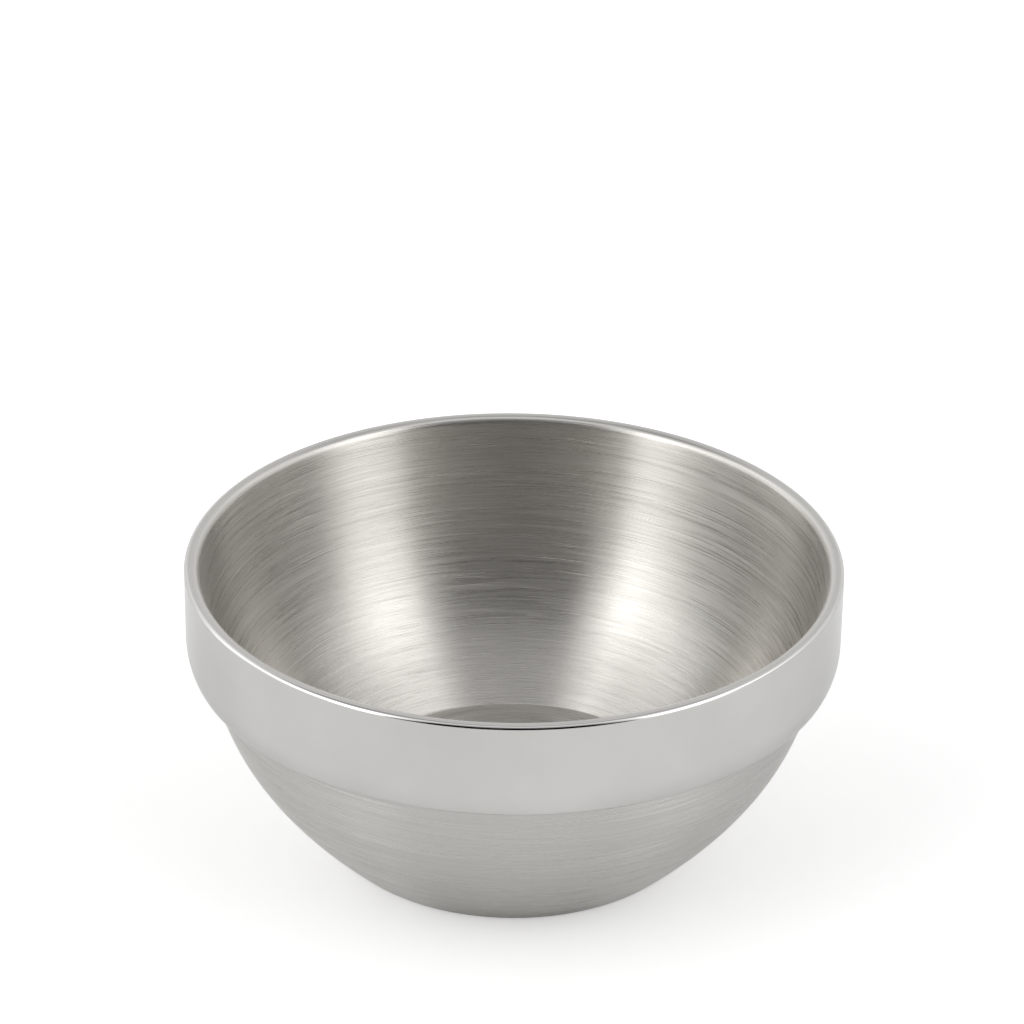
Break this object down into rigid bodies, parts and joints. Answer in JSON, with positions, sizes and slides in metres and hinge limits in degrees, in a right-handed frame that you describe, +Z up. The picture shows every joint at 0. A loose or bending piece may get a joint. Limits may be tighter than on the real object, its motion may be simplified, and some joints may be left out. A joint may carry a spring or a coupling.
{
  "type": "shaving bowl",
  "caption": "Round double-walled steel shaving bowl with a polished band under a flat rim, a brushed tapering body and a recessed base.",
  "frame": {"origin": "centre of the foot ring, on the table", "axes": "+Z up along the bowl's axis; X and Y are free, because every piece is turned about Z"},
  "size_m": [0.12, 0.12, 0.0555],
  "materials": {
    "outer_shell": "lower bowl brushed around the axis, band above it polished to a mirror",
    "inner_bowl": "brushed around the axis, with a satin rim",
    "rim_weld": "ground round and polished",
    "vent_plug": "satin"
  },
  "bodies": {
    "root": {"outer_shell": "outer_shell", "inner_bowl": "inner_bowl", "rim_weld": "rim_weld", "vent_plug": "vent_plug"}
  },
  "joints": []
}
